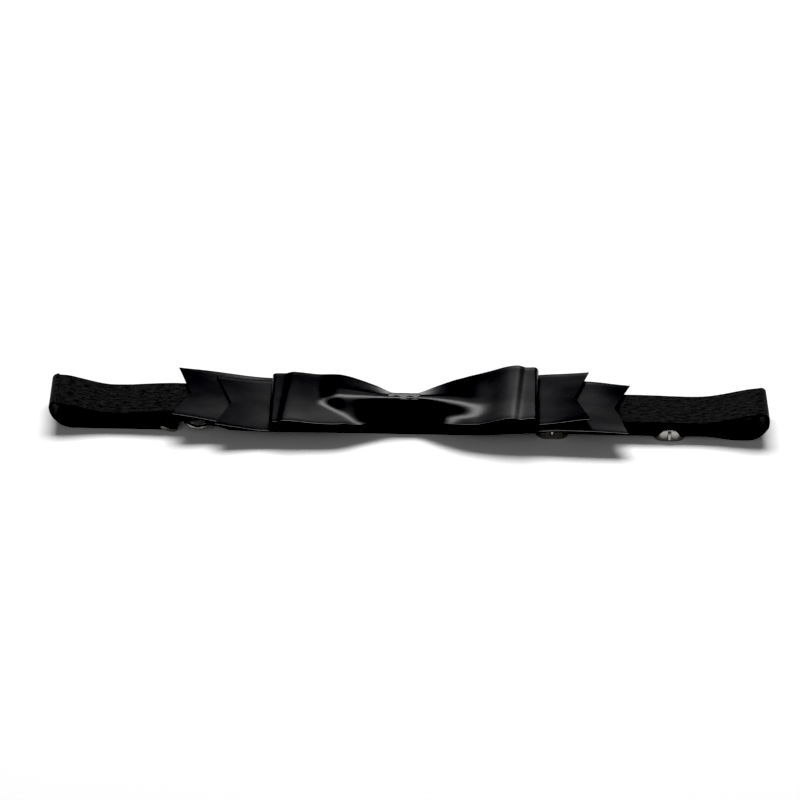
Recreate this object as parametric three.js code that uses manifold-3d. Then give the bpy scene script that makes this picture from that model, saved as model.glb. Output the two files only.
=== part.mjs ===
// A pre-tied satin bow tie, lying face up with its neckband closed and pressed flat.
// Millimetres, +Z up. +X runs along the neckband, and the bow faces +Z. The origin is on the
// surface that the tie lies on, under the middle of its bounding box.

import * as THREE from 'three';
import { mergeVertices } from 'three/addons/utils/BufferGeometryUtils.js';
import Module from 'manifold-3d';

const wasm = await Module();
wasm.setup();

// ---- Driving dimensions ----

const HALF_LENGTH = 101.6;       // from the middle to the outside of each end fold
const BAND_WIDTH = 12.7;         // half-inch velvet elastic
const BAND_THICKNESS = 0.8;
const RIBBON_WIDTH = 22.2;       // seven-eighths satin ribbon
const RIBBON_THICKNESS = 0.35;
const BOW_X = -1.2;              // the knot sits a little to the left of the band's middle
const BOW_HALF_LENGTH = 38;
const KNOT_WIDTH = 9.2;
const PIECE_GAP = 0.2;           // where two lengths of the same band meet end to end

// End folds: a wide lower bend, an upright side and a tight upper bend that turns a little over
// level. Radii are to the middle of the band's thickness.
const FOLD_SIDE_X = HALF_LENGTH - BAND_THICKNESS / 2;
const FOLD_HEIGHT = 9;
const LOWER_BEND = { left: 6.8, right: 5.6 };
const UPPER_BEND = 1.6;
const FOLD_OVERTURN = THREE.MathUtils.degToRad(10);
const LEFT_FOLD_FOOT = LOWER_BEND.left - FOLD_SIDE_X;
const RIGHT_FOLD_FOOT = FOLD_SIDE_X - LOWER_BEND.right;
const FOLD_TOP_X = FOLD_SIDE_X - UPPER_BEND * (1 + Math.sin(FOLD_OVERTURN));
const FOLD_TOP_Z = FOLD_HEIGHT - UPPER_BEND * (1 - Math.cos(FOLD_OVERTURN));
const FOLD_SLOPE = Math.tan(FOLD_OVERTURN);

// Heights of the layers' mid-planes, as stations [x, z, slope] joined by smooth curves.
const FRONT_BAND = [
  [-FOLD_TOP_X, FOLD_TOP_Z, -FOLD_SLOPE], [-83.5, 5.3, 0], [-66, 6.4, 0], [-42, 3.4, 0],
  [-10, 3, 0], [8, 3, 0], [36, 4.7, 0], [64, 5.4, 0], [81, 5, 0],
  [FOLD_TOP_X, FOLD_TOP_Z, FOLD_SLOPE],
];
const LONG_TAILS = [
  [-66.2, 7.3, 0], [-40, 4.3, 0], [-10, 4.05, 0], [8, 4.05, 0], [50, 7, 0], [62.5, 6.4, 0],
];
const SHORT_TAILS = [
  [-54.6, 6.7, 0], [-40, 4.85, 0], [-10, 4.5, 0], [8, 4.5, 0], [40, 7.6, 0.1], [51.3, 8.9, 0.13],
];
const BOW_TOP = [
  [-36, 7.95, 0], [-22, 7.45, 0], [-6.5, 7.7, 0], [4.1, 7.7, 0], [20, 8.1, 0.12], [33.5, 11, 0],
];
const BOW_ON_TAILS = 0.45;       // the bow's lower layer over the short tails
const LOWER_RUN = [
  [-52, 0.7, 0], [-44, 0.4, 0], [16, 0.4, 0], [24, 1.55, 0], [85, 1.55, 0], [92, 0.4, 0],
  [RIGHT_FOLD_FOOT, 0.4, 0],
];
const FREE_END = [[-52, 1.6, 0], [-44, 1.3, 0], [16, 1.3, 0], [24, 2.45, 0], [88, 2.45, 0]];

const LONG_TAIL_TURN = THREE.MathUtils.degToRad(-1.4);
const SHORT_TAIL_TURN = THREE.MathUtils.degToRad(1.4);
const NOTCH_DEPTH = 4.2;         // of the swallowtail cut

// Half widths in plan, as stations [distance from the knot's middle, half width, slope].
const PINCHED_HALF_WIDTH = 5.85;
const RIBBON_PLAN = [[5.3, PINCHED_HALF_WIDTH, 0.5], [22, RIBBON_WIDTH / 2, 0]];

// The pinched waist, the thread that binds it and the wrap that covers it are nested domes.
const WAIST = { halfWidth: PINCHED_HALF_WIDTH, foot: 4.75, base: 4.75, rise: 3.3, length: 10.6 };
const THREAD = { halfWidth: 6, foot: 3.8, base: 4.75, rise: 3.4, thickness: 0.3, length: 4 };
const WRAP = {
  halfWidth: 6.5, foot: 2.45, base: 4.75, rise: 3.85, thickness: 0.4, length: KNOT_WIDTH,
};

// Hardware.
const SLIDE = {
  length: 9.2, width: 15.2, bar: 1.1, rail: 1.1, thickness: 0.95, outerZ: 0.5, middleZ: 3.55,
};
const INNER_SLIDE_X = 40.7;
const OUTER_SLIDE_X = 73.8;
const EYE = { length: 8.2, width: 17, wire: 1.3, x: -59.6, z: 2.05 };
const HOOK_BAR = { x: -70.1, z: 1.65 };
const HOOK = { frameRight: -65.2, lip: -61.1, width: 15.2, bar: 1, thickness: 0.9, tongue: 6 };
const LOOP_BORE = 0.85;          // radius inside the band's loops over the hook and the eye
const EYE_LOOP_WIDTH = 10.4;     // the band is squeezed by the eye's round ends
const LOOP_OUTSIDE = LOOP_BORE + BAND_THICKNESS;

const VELVET = { color: 0x070707, roughness: 0.95, metalness: 0 };
const SATIN = { color: 0x0a0a0b, roughness: 0.35, metalness: 0 };
const THREAD_BLACK = { color: 0x0c0c0c, roughness: 0.7, metalness: 0 };
const NICKEL = { color: 0xc8c8cc, roughness: 0.15, metalness: 1 };

// ---- Curves ----

// Height at x on a chain of cubic curves through stations [x, z, slope].
function heightAt(stations, x) {
  let i = 1;
  while (i < stations.length - 1 && x > stations[i][0]) i++;
  const [x0, z0, slope0] = stations[i - 1];
  const [x1, z1, slope1] = stations[i];
  const span = x1 - x0;
  const t = THREE.MathUtils.clamp((x - x0) / span, 0, 1);
  const a = 2 * t ** 3 - 3 * t ** 2 + 1;
  const b = t ** 3 - 2 * t ** 2 + t;
  const c = t ** 3 - t ** 2;
  return a * z0 + b * span * slope0 + (1 - a) * z1 + c * span * slope1;
}

// Evenly spaced values from first to last, both included.
function spaced(first, last, steps) {
  return Array.from({ length: steps + 1 }, (_, i) => first + ((last - first) * i) / steps);
}

// Points beside a layer's mid-plane, at a distance measured square to it.
function layer(stations, first, last, steps, distance) {
  const near = 0.01;
  return spaced(first, last, steps).map((x) => {
    const [before, after] = [Math.max(x - near, first), Math.min(x + near, last)];
    const rise = heightAt(stations, after) - heightAt(stations, before);
    const square = new THREE.Vector2(-rise, after - before).normalize();
    return new THREE.Vector2(x, heightAt(stations, x)).addScaledVector(square, distance);
  });
}

// Points on an arc, with angles in radians from +X.
function arc(x, z, radius, from, to, steps) {
  return spaced(from, to, steps).map(
    (angle) => new THREE.Vector2(x + radius * Math.cos(angle), z + radius * Math.sin(angle)),
  );
}

// An outline without repeated points, or points on a straight line between their neighbours.
function outlineOf(points, Outline = THREE.Shape) {
  const apart = points.filter((p, i) => p.distanceTo(points.at(i - 1)) > 1e-6);
  const bends = apart.filter((p, i) => {
    const into = p.clone().sub(apart.at(i - 1));
    const out = apart[(i + 1) % apart.length].clone().sub(p);
    return Math.abs(into.cross(out)) > 1e-7;
  });
  return new Outline(bends);
}

// ---- Solids ----

// A closed geometry as a manifold-3d solid.
function solid(geometry) {
  const bare = geometry.clone();
  bare.deleteAttribute('normal');
  bare.deleteAttribute('uv');
  const merged = mergeVertices(bare, 1e-4);
  return new wasm.Manifold(new wasm.Mesh({
    numProp: 3,
    vertProperties: merged.attributes.position.array,
    triVerts: new Uint32Array(merged.index.array),
  }));
}

// A manifold-3d solid as a geometry.
function geometryOf(made) {
  const mesh = made.getMesh();
  const geometry = new THREE.BufferGeometry();
  geometry.setAttribute('position', new THREE.BufferAttribute(mesh.vertProperties, 3));
  geometry.setIndex(new THREE.BufferAttribute(mesh.triVerts, 1));
  geometry.computeVertexNormals();
  return geometry;
}

// A side outline, in x and z, extruded across the tie about y = 0.
function across(shape, width) {
  const geometry = new THREE.ExtrudeGeometry(shape, { depth: width, bevelEnabled: false });
  return geometry.rotateX(Math.PI / 2).translate(0, width / 2, 0);
}

// A plan outline, in x and y, extruded upwards between two heights.
function upwards(shape, bottom, top) {
  const geometry = new THREE.ExtrudeGeometry(shape, { depth: top - bottom, bevelEnabled: false });
  return geometry.translate(0, 0, bottom);
}

// A cross-section, in y and z, extruded along the tie about the knot's middle.
function along(shape, length) {
  const geometry = new THREE.ExtrudeGeometry(shape, { depth: length, bevelEnabled: false });
  const turn = new THREE.Matrix4().makeBasis(
    new THREE.Vector3(0, 1, 0), new THREE.Vector3(0, 0, 1), new THREE.Vector3(1, 0, 0),
  );
  return geometry.applyMatrix4(turn).translate(BOW_X - length / 2, 0, 0);
}

// A strip of the given thickness that follows a layer's stations.
function strip(stations, first, last, steps, thickness) {
  return outlineOf([
    ...layer(stations, first, last, steps, -thickness / 2),
    ...layer(stations, first, last, steps, thickness / 2).reverse(),
  ]);
}

// A dome on straight sides: the outline of the pinched waist and of what goes round it.
function dome({ halfWidth, foot, base, rise }, grow = 0) {
  const a = halfWidth + grow;
  const top = spaced(0, Math.PI, 24).map(
    (angle) => new THREE.Vector2(a * Math.cos(angle), base + (rise + grow) * Math.sin(angle)),
  );
  return [new THREE.Vector2(-a, foot - grow), new THREE.Vector2(a, foot - grow), ...top];
}

// A closed band that goes round the waist.
function wrapRound(size) {
  const shape = outlineOf(dome(size, size.thickness));
  shape.holes.push(outlineOf(dome(size), THREE.Path));
  return along(shape, size.length);
}

// Half the ribbon's width at a distance from the knot's middle.
function ribbonHalfWidth(distance) {
  return distance < RIBBON_PLAN[0][0] ? PINCHED_HALF_WIDTH : heightAt(RIBBON_PLAN, distance);
}

// The plan of a pinched ribbon from first to last, with a notch cut into each end.
function ribbonPlan(first, last, notch) {
  const edge = spaced(first, last, 48).map(
    (x) => new THREE.Vector2(x, ribbonHalfWidth(Math.abs(x - BOW_X))),
  );
  const mirrored = edge.map((p) => new THREE.Vector2(p.x, -p.y)).reverse();
  return outlineOf([
    new THREE.Vector2(first + notch, 0), ...mirrored.reverse(),
    new THREE.Vector2(last - notch, 0), ...edge.reverse(),
  ]);
}

// A ribbon that lies along the band, with swallowtail ends.
function tails(stations) {
  const first = stations[0][0];
  const last = stations.at(-1)[0];
  const side = solid(across(strip(stations, first, last, 48, RIBBON_THICKNESS), RIBBON_WIDTH + 2));
  return geometryOf(side.intersect(solid(upwards(ribbonPlan(first, last, NOTCH_DEPTH), 0, 20))));
}

// ---- The neckband ----

function bandFront() {
  const end = FOLD_TOP_X - PIECE_GAP;
  return across(strip(FRONT_BAND, -end, end, 72, BAND_THICKNESS), BAND_WIDTH);
}

// The fold at one end, side = -1 for the left and 1 for the right.
function bandFold(side, lowerBend) {
  const half = BAND_THICKNESS / 2;
  const from = -Math.PI / 2;
  const to = Math.PI / 2 + FOLD_OVERTURN;
  const upperZ = FOLD_HEIGHT - UPPER_BEND;
  const lower = (grow) => arc(FOLD_SIDE_X - lowerBend, half + lowerBend, lowerBend + grow, from, 0, 14);
  const upper = (grow) => arc(FOLD_SIDE_X - UPPER_BEND, upperZ, UPPER_BEND + grow, 0, to, 10);
  const outline = [
    ...lower(half), ...upper(half), ...upper(-half).reverse(), ...lower(-half).reverse(),
  ].map((p) => new THREE.Vector2(side * p.x, p.y));
  return across(outlineOf(outline), BAND_WIDTH);
}

// The end that is folded over the hook's bar and sewn down.
function bandHookEnd() {
  const lap = 2 * BAND_THICKNESS;
  const lapEnd = HOOK_BAR.x - 13;
  const shape = outlineOf([
    new THREE.Vector2(LEFT_FOLD_FOOT + PIECE_GAP, 0),
    ...arc(HOOK_BAR.x, HOOK_BAR.z, LOOP_OUTSIDE, -Math.PI / 2, Math.PI * 0.6, 14),
    new THREE.Vector2(HOOK_BAR.x - 3.6, lap),
    new THREE.Vector2(lapEnd, lap),
    new THREE.Vector2(lapEnd, BAND_THICKNESS),
    new THREE.Vector2(LEFT_FOLD_FOOT + PIECE_GAP, BAND_THICKNESS),
  ]);
  shape.holes.push(outlineOf(arc(HOOK_BAR.x, HOOK_BAR.z, LOOP_BORE, 0, 2 * Math.PI, 20), THREE.Path));
  return across(shape, BAND_WIDTH);
}

// The turn of the band through the eye. Its two ends run on as the lower run and the free end.
function bandEyeLoop() {
  const x = EYE.x + EYE.length / 2 - EYE.wire / 2;
  const end = LOWER_RUN[0][0] - PIECE_GAP;
  const lower = LOWER_RUN[0][1];
  const upper = FREE_END[0][1];
  const half = BAND_THICKNESS / 2;
  const shape = outlineOf([
    ...arc(x, EYE.z, LOOP_OUTSIDE, Math.PI * 0.45, Math.PI * 1.5, 14),
    new THREE.Vector2(end, lower - half),
    new THREE.Vector2(end, lower + half),
    new THREE.Vector2(x + 2.6, EYE.z - 0.4),
    new THREE.Vector2(end, upper - half),
    new THREE.Vector2(end, upper + half),
  ]);
  shape.holes.push(outlineOf(arc(x, EYE.z, LOOP_BORE, 0, 2 * Math.PI, 20), THREE.Path));
  const plan = outlineOf([
    new THREE.Vector2(x - 3, -EYE_LOOP_WIDTH / 2), new THREE.Vector2(x + 1.6, -EYE_LOOP_WIDTH / 2),
    new THREE.Vector2(end, -BAND_WIDTH / 2), new THREE.Vector2(end, BAND_WIDTH / 2),
    new THREE.Vector2(x + 1.6, EYE_LOOP_WIDTH / 2), new THREE.Vector2(x - 3, EYE_LOOP_WIDTH / 2),
  ]);
  const straight = solid(across(shape, BAND_WIDTH + 1));
  return geometryOf(straight.intersect(solid(upwards(plan, -1, 6))));
}

function bandLowerRun() {
  const last = RIGHT_FOLD_FOOT - PIECE_GAP;
  return across(strip(LOWER_RUN, LOWER_RUN[0][0], last, 76, BAND_THICKNESS), BAND_WIDTH);
}

// The free end runs back over the lower run, and its tip is turned over and hemmed.
function bandFreeEnd() {
  const last = FREE_END.at(-1)[0];
  const top = heightAt(FREE_END, last) + BAND_THICKNESS / 2;
  const shape = outlineOf([
    ...layer(FREE_END, FREE_END[0][0], last, 72, -BAND_THICKNESS / 2),
    new THREE.Vector2(last, top + BAND_THICKNESS),
    new THREE.Vector2(last - 4, top + BAND_THICKNESS),
    ...layer(FREE_END, FREE_END[0][0], last - 4, 72, BAND_THICKNESS / 2).reverse(),
  ]);
  return across(shape, BAND_WIDTH);
}

// ---- The bow ----

// Both loops and the waist are one ribbon. Each loop is hollow from side to side.
function bowRibbon() {
  const half = RIBBON_THICKNESS / 2;
  const lower = (x) => heightAt(SHORT_TAILS, x) + BOW_ON_TAILS;
  const upper = (x) => heightAt(BOW_TOP, x);
  const ends = [-1, 1].map((side) => {
    const near = BOW_X + side * (BOW_HALF_LENGTH - 2);
    const radius = (upper(near) - lower(near)) / 2;
    return { side, radius, x: BOW_X + side * (BOW_HALF_LENGTH - half - radius), z: lower(near) + radius };
  });
  const turn = ({ side, radius, x, z }, grow) => {
    const bend = arc(0, 0, radius + grow, -Math.PI / 2, Math.PI / 2, 12);
    return bend.map((p) => new THREE.Vector2(x + side * p.x, z + p.y));
  };
  const run = (height, from, to, offset) => spaced(from, to, 28).slice(1, -1).map(
    (x) => new THREE.Vector2(x, height(x) + offset),
  );
  const [left, right] = ends;
  const outside = [
    ...run(lower, left.x, right.x, -half), ...turn(right, half),
    ...run(upper, right.x, left.x, half), ...turn(left, half).reverse(),
  ];
  let loops = solid(across(outlineOf(outside), RIBBON_WIDTH + 2));
  for (const end of ends) {
    const waist = BOW_X + end.side * (WAIST.length / 2);
    const inside = [
      ...run(lower, waist, end.x, half), ...turn(end, -half), ...run(upper, end.x, waist, -half),
    ];
    loops = loops.subtract(solid(across(outlineOf(inside), RIBBON_WIDTH + 4)));
  }
  const first = BOW_X - BOW_HALF_LENGTH;
  const last = BOW_X + BOW_HALF_LENGTH;
  const flared = loops.intersect(solid(upwards(ribbonPlan(first, last, 0), 0, 20)));
  const clear = 24;              // wider and taller than the ribbon
  const block = new THREE.BoxGeometry(WAIST.length, clear, clear).translate(BOW_X, 0, clear / 2);
  const corners = solid(block).subtract(solid(along(outlineOf(dome(WAIST)), WAIST.length + 1)));
  return geometryOf(flared.subtract(corners));
}

// ---- Hardware ----

// A rectangle with rounded corners about (x, 0), as a plan outline.
function roundedRectangle(x, length, width, radius, Outline = THREE.Shape) {
  const [a, b] = [length / 2 - radius, width / 2 - radius];
  const corners = [[a, b, 0], [-a, b, 0.5], [-a, -b, 1], [a, -b, 1.5]];
  const points = corners.flatMap(
    ([cx, cy, start]) => arc(x + cx, cy, radius, start * Math.PI, (start + 0.5) * Math.PI, 6),
  );
  return outlineOf(points, Outline);
}

// A three-bar slide, arched so that the band runs over its outer bars and under its middle bar.
// Its rails are upright plates that fill the arch beside the band.
function slide() {
  const { length, width, bar, rail, thickness, outerZ, middleZ } = SLIDE;
  const outer = length / 2;
  const arch = [
    [-outer, outerZ, 0], [-outer + bar, outerZ, 0], [-bar / 2, middleZ, 0],
    [bar / 2, middleZ, 0], [outer - bar, outerZ, 0], [outer, outerZ, 0],
  ];
  const plan = roundedRectangle(0, length, width, 3);
  const slot = (outer - bar - bar / 2);
  for (const side of [-1, 1]) {
    const x = side * (bar / 2 + slot / 2);
    plan.holes.push(roundedRectangle(x, slot, width - 2 * rail, 0.5, THREE.Path));
  }
  const half = thickness / 2;
  const filled = outlineOf([
    new THREE.Vector2(-outer, outerZ - half), new THREE.Vector2(outer, outerZ - half),
    ...layer(arch, -outer, outer, 40, half).reverse(),
  ]);
  const between = new THREE.BoxGeometry(2 * length, width - 2 * rail, 2 * length);
  const rails = solid(across(filled, width)).subtract(solid(between));
  const bars = solid(across(strip(arch, -outer, outer, 40, thickness), width));
  return geometryOf(bars.add(rails).intersect(solid(upwards(plan, -1, 6))));
}

// An oval wire eye: a torus whose halves are drawn apart across the band.
function eye() {
  const { length, width, wire } = EYE;
  const sides = 32;
  const ring = new THREE.TorusGeometry((length - wire) / 2, wire / 2, 10, sides);
  ring.rotateZ(Math.PI / sides);
  const position = ring.getAttribute('position');
  for (let i = 0; i < position.count; i++) {
    position.setY(i, position.getY(i) + Math.sign(position.getY(i)) * (width - length) / 2);
  }
  return ring;
}

// A flat hook: a barred frame for the band, and a tongue that passes under the eye and turns up.
function hook() {
  const { frameRight, lip, width, bar, thickness, tongue } = HOOK;
  const left = HOOK_BAR.x - bar / 2;
  const tongueZ = 0.75;
  const profile = [
    [left, HOOK_BAR.z, 0], [left + bar, HOOK_BAR.z, 0], [frameRight - 1.6, tongueZ, 0], [lip, tongueZ, 0],
  ];
  const lipTop = 3.1;
  const lipBox = new THREE.BoxGeometry(thickness, tongue, lipTop - tongueZ)
    .translate(lip - thickness / 2, 0, (lipTop + tongueZ) / 2);
  const plan = roundedRectangle((left + frameRight) / 2, frameRight - left, width, 1.2);
  const slotLength = frameRight - left - bar - 1.6;
  plan.holes.push(
    roundedRectangle(left + bar + slotLength / 2, slotLength, BAND_WIDTH + 0.2, 0.4, THREE.Path),
  );
  const tongueLength = lip - frameRight + 1;
  const tonguePlan = roundedRectangle(lip - tongueLength / 2, tongueLength, tongue, 0.3);
  const side = solid(across(strip(profile, left, lip, 40, thickness), width));
  const outline = solid(upwards(plan, -1, 6)).add(solid(upwards(tonguePlan, -1, 6)));
  return geometryOf(side.intersect(outline).add(solid(lipBox)));
}

// A bar of dense stitching, sewn across the band.
function bartack(length, width) {
  return new THREE.BoxGeometry(length, width, 0.2);
}

// ---- Assembly ----

const tie = new THREE.Group();

function add(name, geometry, material, x = 0, z = 0) {
  const mesh = new THREE.Mesh(geometry, new THREE.MeshStandardMaterial(material));
  mesh.name = name;
  mesh.position.set(x, 0, z);
  tie.add(mesh);
  return mesh;
}

// Turns a tail ribbon about the knot's middle, so that its ends splay.
function splay(mesh, angle) {
  mesh.geometry.translate(-BOW_X, 0, 0);
  mesh.position.x += BOW_X;
  mesh.rotation.z = angle;
}

add('band_front', bandFront(), VELVET);
add('band_left_fold', bandFold(-1, LOWER_BEND.left), VELVET);
add('band_right_fold', bandFold(1, LOWER_BEND.right), VELVET);
add('band_hook_end', bandHookEnd(), VELVET);
add('band_lower_run', bandLowerRun(), VELVET);
add('band_eye_loop', bandEyeLoop(), VELVET);
add('band_free_end', bandFreeEnd(), VELVET);

splay(add('long_tail_ribbon', tails(LONG_TAILS), SATIN), LONG_TAIL_TURN);
splay(add('short_tail_ribbon', tails(SHORT_TAILS), SATIN), SHORT_TAIL_TURN);
add('bow_loop_ribbon', bowRibbon(), SATIN);
add('waist_thread', wrapRound(THREAD), THREAD_BLACK);
add('knot_wrap', wrapRound(WRAP), SATIN);

add('closure_hook', hook(), NICKEL);
add('closure_eye', eye(), NICKEL, EYE.x, EYE.z);
add('inner_slide', slide(), NICKEL, INNER_SLIDE_X);
add('outer_slide', slide(), NICKEL, OUTER_SLIDE_X);

const ON_TOP = 0.15;             // a stitch bar's middle over the surface it is sewn to
const hemTop = FREE_END.at(-1)[1] + 1.5 * BAND_THICKNESS;
add('hook_end_bartack', bartack(1.4, 10.5), THREAD_BLACK, HOOK_BAR.x - 11, 2 * BAND_THICKNESS + ON_TOP);
add('free_end_bartack', bartack(1.2, 11), THREAD_BLACK, FREE_END.at(-1)[0] - 2.4, hemTop + ON_TOP);
add('knot_seam_bartack', bartack(7, 1.2), THREAD_BLACK, BOW_X, WRAP.foot - WRAP.thickness - ON_TOP);

export default tie;
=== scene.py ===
# The looks of a pre-tied satin bow tie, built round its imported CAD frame.
# Metres, +Z up. The tie lies face up on a white surface, with its neckband closed and pressed flat.

import math
from types import SimpleNamespace

import bmesh
import bpy
import numpy as np
from mathutils import Matrix, Vector, noise
from mathutils.bvhtree import BVHTree


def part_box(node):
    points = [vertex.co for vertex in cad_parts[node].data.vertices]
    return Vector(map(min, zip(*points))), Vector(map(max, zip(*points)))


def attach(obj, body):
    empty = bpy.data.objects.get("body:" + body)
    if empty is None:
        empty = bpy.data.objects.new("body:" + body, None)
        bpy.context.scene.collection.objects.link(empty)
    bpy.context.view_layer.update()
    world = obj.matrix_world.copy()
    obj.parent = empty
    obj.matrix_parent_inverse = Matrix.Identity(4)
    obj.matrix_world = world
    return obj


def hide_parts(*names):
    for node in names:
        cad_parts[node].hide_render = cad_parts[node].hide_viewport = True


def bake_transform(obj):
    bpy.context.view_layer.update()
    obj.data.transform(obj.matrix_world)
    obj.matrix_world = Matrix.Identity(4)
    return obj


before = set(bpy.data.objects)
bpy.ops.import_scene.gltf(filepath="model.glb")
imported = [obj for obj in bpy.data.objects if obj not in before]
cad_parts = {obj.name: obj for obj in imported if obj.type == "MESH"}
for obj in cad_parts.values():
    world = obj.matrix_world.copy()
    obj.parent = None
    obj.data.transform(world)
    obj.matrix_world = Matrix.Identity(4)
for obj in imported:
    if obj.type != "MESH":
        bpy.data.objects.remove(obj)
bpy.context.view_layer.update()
MM = 0.001

# ---- Sizes, read from the frame where it has them ----


def span(node, axis):
    """The lowest and highest place of a CAD node along one axis."""
    low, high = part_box(node)
    return low[axis], high[axis]


def middle(node):
    low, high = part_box(node)
    return (low + high) / 2


PROFILE_STEPS = 160
END_STEPS = 4                    # whose slope carries on past a layer's end


def profile(node, inset=0.0):
    """The mid-height of a flat CAD layer as a function of x, found with rays through its middle."""
    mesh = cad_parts[node].data
    tree = BVHTree.FromPolygons([v.co for v in mesh.vertices], [p.vertices for p in mesh.polygons])
    first, last = span(node, 0)
    xs = np.linspace(first + inset, last - inset, PROFILE_STEPS)
    heights = []
    for x in xs:
        top = tree.ray_cast(Vector((x, 0, 1)), Vector((0, 0, -1)))[0]
        bottom = tree.ray_cast(Vector((x, 0, -1)), Vector((0, 0, 1)))[0]
        heights.append((top.z + bottom.z) / 2)
    first_slope = (heights[END_STEPS] - heights[0]) / (xs[END_STEPS] - xs[0])
    last_slope = (heights[-1] - heights[-1 - END_STEPS]) / (xs[-1] - xs[-1 - END_STEPS])

    def height(x):
        """Inside the layer it follows the solid, and outside it goes on straight."""
        inside = np.clip(x, xs[0], xs[-1])
        slope = np.where(np.asarray(x) < xs[0], first_slope, last_slope)
        return np.interp(inside, xs, heights) + (x - inside) * slope

    return height


BAND_WIDTH = span("band_front", 1)[1] - span("band_front", 1)[0]
BAND_THICKNESS = 0.8 * MM
RIBBON_WIDTH = 22.2 * MM
RIBBON_THICKNESS = 0.3 * MM
KNOT_X = middle("knot_wrap").x
KNOT_LOW, KNOT_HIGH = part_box("knot_wrap")

# ---- Mesh helpers ----


def smoothstep(t):
    t = np.clip(t, 0, 1)
    return t * t * (3 - 2 * t)


def ease(value, start, length):
    """Rises from 0 at start to 1 a length further on, with start and length in mm."""
    return smoothstep((value - start * MM) / (length * MM))


def wobble(x, y, size, seed):
    """Smooth noise between about -1 and 1 over the plane, with features of the given size."""
    return noise.noise(Vector((x / size, y / size, seed)))


def finish_mesh(name, mesh, materials, sharp_deg=50):
    for material in materials:
        mesh.materials.append(material)
    mesh.polygons.foreach_set("use_smooth", [True] * len(mesh.polygons))
    mesh.set_sharp_from_angle(angle=math.radians(sharp_deg))
    piece = bpy.data.objects.new(name, mesh)
    bpy.context.scene.collection.objects.link(piece)
    return piece


def unit(vectors):
    return vectors / np.maximum(np.linalg.norm(vectors, axis=-1, keepdims=True), 1e-12)


def ribbon(name, grid, thickness, face, back, closed=False, selvage=1.0):
    """Cloth round a grid of mid-surface points [along][across], with rounded edges.
    Its face side is on the left of the way along, seen from the +Y side. UVs are in metres."""
    grid = np.asarray(grid, float)
    rows, columns = grid.shape[:2]
    if closed:
        along = np.roll(grid, -1, 0) - np.roll(grid, 1, 0)
    else:
        along = np.gradient(grid, axis=0)
    across = np.gradient(grid, axis=1)
    normal = unit(np.cross(along, across))
    outward = unit(across)
    thick = np.full(columns, thickness / 2)
    thick[:2] *= selvage
    thick[-2:] *= selvage
    offset = normal * thick[None, :, None]
    edge_low = grid[:, :1] - outward[:, :1] * thick[0]
    edge_high = grid[:, -1:] + outward[:, -1:] * thick[-1]
    rings = np.concatenate([grid + offset, edge_high, (grid - offset)[:, ::-1], edge_low], axis=1)
    count = rings.shape[1]

    widths = np.linalg.norm(np.diff(grid, axis=1), axis=2).mean(0)
    metres_across = np.concatenate([[0], np.cumsum(widths)])
    steps = np.linalg.norm(np.diff(grid[:, columns // 2], axis=0), axis=1)
    metres_along = np.concatenate([[0], np.cumsum(steps)])
    ring_v = np.concatenate([metres_across, metres_across[-1:] + thickness / 2,
                             metres_across[::-1], metres_across[:1] - thickness / 2])

    faces, uvs, sides = [], [], []
    last_row = rows if closed else rows - 1
    for i in range(last_row):
        j = (i + 1) % rows
        u0 = metres_along[i]
        u1 = metres_along[i + 1] if i + 1 < rows else metres_along[-1] + steps[-1]
        for k in range(count):
            m = (k + 1) % count
            v0, v1 = ring_v[k], ring_v[m]
            faces.append((i * count + k, i * count + m, j * count + m, j * count + k))
            uvs.append(((u0, v0), (u0, v1), (u1, v1), (u1, v0)))
            sides.append(0 if k <= columns or k >= count - 1 else 1)
    if not closed:
        for i, order in ((0, -1), (rows - 1, 1)):
            base = i * count
            for k in range(columns - 1):
                low = base + 2 * columns - k
                quad = (base + k, base + k + 1, low - 1, low)
                faces.append(quad[::order])
                uvs.append(((metres_along[i], metres_across[k]),) * 4)
                sides.append(0)
            for tri in ((base, base + 2 * columns, base + count - 1),
                        (base + columns - 1, base + columns, base + columns + 1)):
                faces.append(tri[::order])
                uvs.append(((metres_along[i], metres_across[0]),) * 3)
                sides.append(0)
    mesh = bpy.data.meshes.new(name)
    mesh.from_pydata(rings.reshape(-1, 3).tolist(), [], faces)
    layer = mesh.uv_layers.new(name="UVMap")
    layer.data.foreach_set("uv", [c for quad in uvs for uv in quad for c in uv])
    mesh.polygons.foreach_set("material_index", sides)
    bm = bmesh.new()
    bm.from_mesh(mesh)
    bmesh.ops.recalc_face_normals(bm, faces=bm.faces)
    bm.to_mesh(mesh)
    bm.free()
    return finish_mesh(name, mesh, [face, back])


def tube(name, path, radius, material, sides, closed=False):
    """A round cord along a path of points, closed with end caps unless it is a ring."""
    path = [Vector(p) for p in path]
    n = len(path)
    bm = bmesh.new()
    rings = []
    normal = None
    for i, p in enumerate(path):
        before = path[i - 1] if closed or i else path[i]
        after = path[(i + 1) % n] if closed or i < n - 1 else path[i]
        tangent = (after - before).normalized()
        if normal is None:
            normal = tangent.orthogonal().normalized()
        normal = (normal - tangent * normal.dot(tangent)).normalized()
        side = tangent.cross(normal)
        rings.append([
            bm.verts.new(p + (normal * math.cos(a) + side * math.sin(a)) * radius)
            for a in (2 * math.pi * k / sides for k in range(sides))
        ])
    for i in range(n if closed else n - 1):
        ring, following = rings[i], rings[(i + 1) % n]
        for k in range(sides):
            bm.faces.new((ring[k], ring[(k + 1) % sides], following[(k + 1) % sides], following[k]))
    if not closed:
        bm.faces.new(rings[0][::-1])
        bm.faces.new(rings[-1])
    bmesh.ops.recalc_face_normals(bm, faces=bm.faces)
    mesh = bpy.data.meshes.new(name)
    bm.to_mesh(mesh)
    bm.free()
    return finish_mesh(name, mesh, [material])


# ---- Materials ----


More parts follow.
